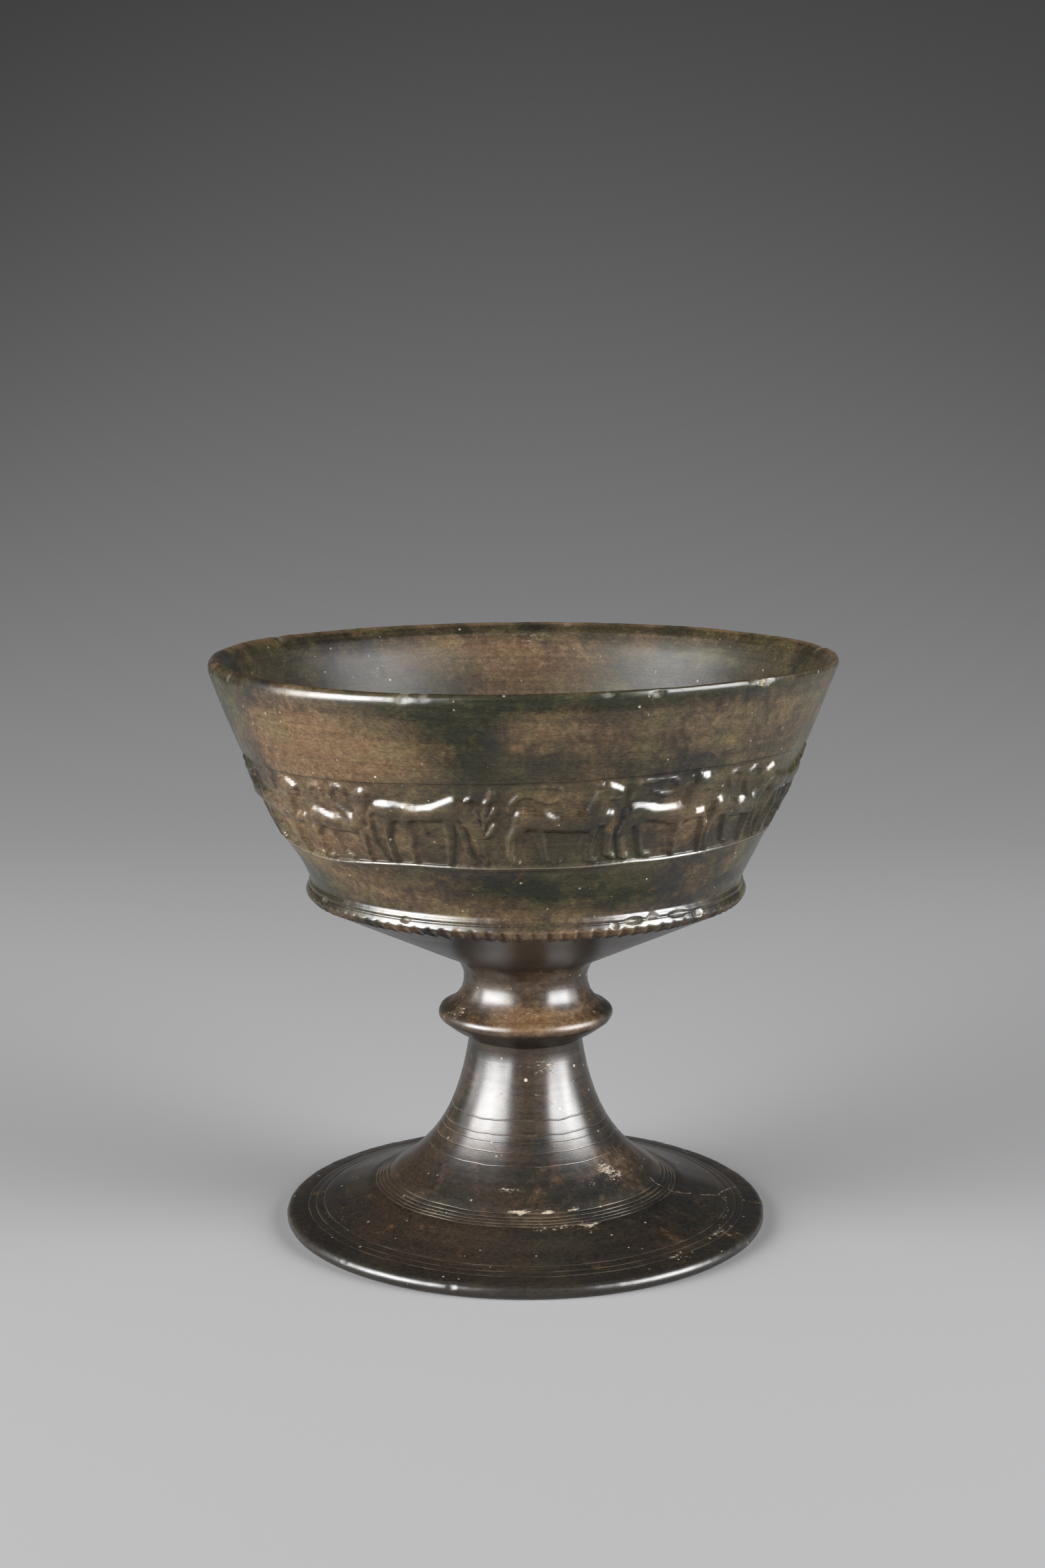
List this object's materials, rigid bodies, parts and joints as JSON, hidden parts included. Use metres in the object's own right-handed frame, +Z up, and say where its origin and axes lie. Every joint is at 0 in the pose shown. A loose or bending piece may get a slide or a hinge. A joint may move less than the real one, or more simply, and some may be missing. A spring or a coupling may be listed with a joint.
{
  "type": "bucchero chalice",
  "caption": "Burnished black fired-clay chalice: wide bowl with a stamped animal frieze and a notched ridge, on a collared stem and a hollow trumpet foot.",
  "frame": {"origin": "on the ground, under the middle of the foot's standing ring", "axes": "+Z up along the chalice's axis, -Y towards the front that the picture shows"},
  "size_m": [0.1666, 0.1666, 0.156],
  "materials": {
    "clay": "burnished black-brown fired clay, satin gloss, with tan encrustation"
  },
  "bodies": {
    "root": {"chalice": "clay"}
  },
  "joints": []
}
